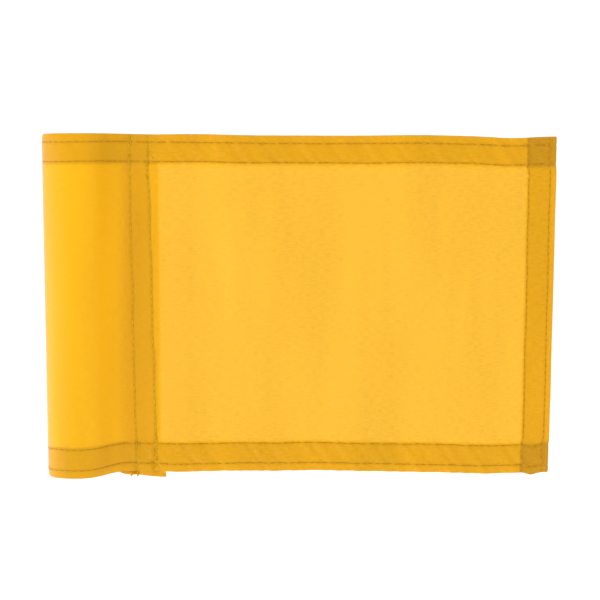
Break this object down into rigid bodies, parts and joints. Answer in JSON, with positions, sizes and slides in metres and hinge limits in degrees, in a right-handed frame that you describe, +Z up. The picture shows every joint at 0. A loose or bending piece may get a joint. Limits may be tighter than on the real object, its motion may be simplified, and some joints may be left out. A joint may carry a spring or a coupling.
{
  "type": "golf flag",
  "caption": "Small hemmed nylon golf flag; its hoist end is sewn into a sleeve round a stiff plastic tube that slips over a flagstick.",
  "frame": {"origin": "middle of the tube's bore, on its axis, half way up the flag", "axes": "+Z up the tube, +X from the tube to the fly end, +Y to the back, where the hems and the lap are turned"},
  "size_m": [0.2288, 0.0298, 0.1552],
  "materials": {
    "nylon_cloth": "plain woven nylon, translucent, golden yellow",
    "thread": "polyester sewing thread, dark golden",
    "tube_plastic": "extruded, satin, off-white"
  },
  "bodies": {
    "insert": {"tube_insert": "tube_plastic"},
    "sleeve": {"lap_end": "nylon_cloth", "seam_backtack_bottom": "thread", "seam_backtack_top": "thread", "seam_front_layer": "nylon_cloth", "seam_row_inner": "thread", "seam_row_outer": "thread", "sleeve_bottom_hem": "nylon_cloth", "sleeve_bottom_row_inner": "thread", "sleeve_bottom_row_outer": "thread", "sleeve_cloth": "nylon_cloth", "sleeve_top_hem": "nylon_cloth", "sleeve_top_row_inner": "thread", "sleeve_top_row_outer": "thread", "thread_tails": "thread"},
    "fly_inner": {"inner_bottom_hem": "nylon_cloth", "inner_bottom_hem_row_inner": "thread", "inner_bottom_hem_row_outer": "thread", "inner_panel": "nylon_cloth", "inner_top_hem": "nylon_cloth", "inner_top_hem_row_inner": "thread", "inner_top_hem_row_outer": "thread"},
    "fly_outer": {"fly_hem": "nylon_cloth", "fly_hem_row_inner": "thread", "fly_hem_row_outer": "thread", "outer_bottom_hem": "nylon_cloth", "outer_bottom_hem_row_inner": "thread", "outer_bottom_hem_row_outer": "thread", "outer_panel": "nylon_cloth", "outer_top_hem": "nylon_cloth", "outer_top_hem_row_inner": "thread", "outer_top_hem_row_outer": "thread"}
  },
  "joints": [
    {"name": "sleeve_turn", "type": "hinge", "parent": "insert", "child": "sleeve", "pos_m": [0, 0, 0], "axis": [0, 0, 1], "continuous": true},
    {"name": "fly_swing", "type": "hinge", "parent": "sleeve", "child": "fly_inner", "pos_m": [0.0372, 0.0003, 0], "axis": [0, 0, 1], "range_deg": [-90, 90], "stiffness_Nm_per_rad": 0.0005},
    {"name": "fly_fold", "type": "hinge", "parent": "fly_inner", "child": "fly_outer", "pos_m": [0.1256, 0.0003, 0], "axis": [0, 0, 1], "range_deg": [-120, 120], "stiffness_Nm_per_rad": 0.0005}
  ]
}
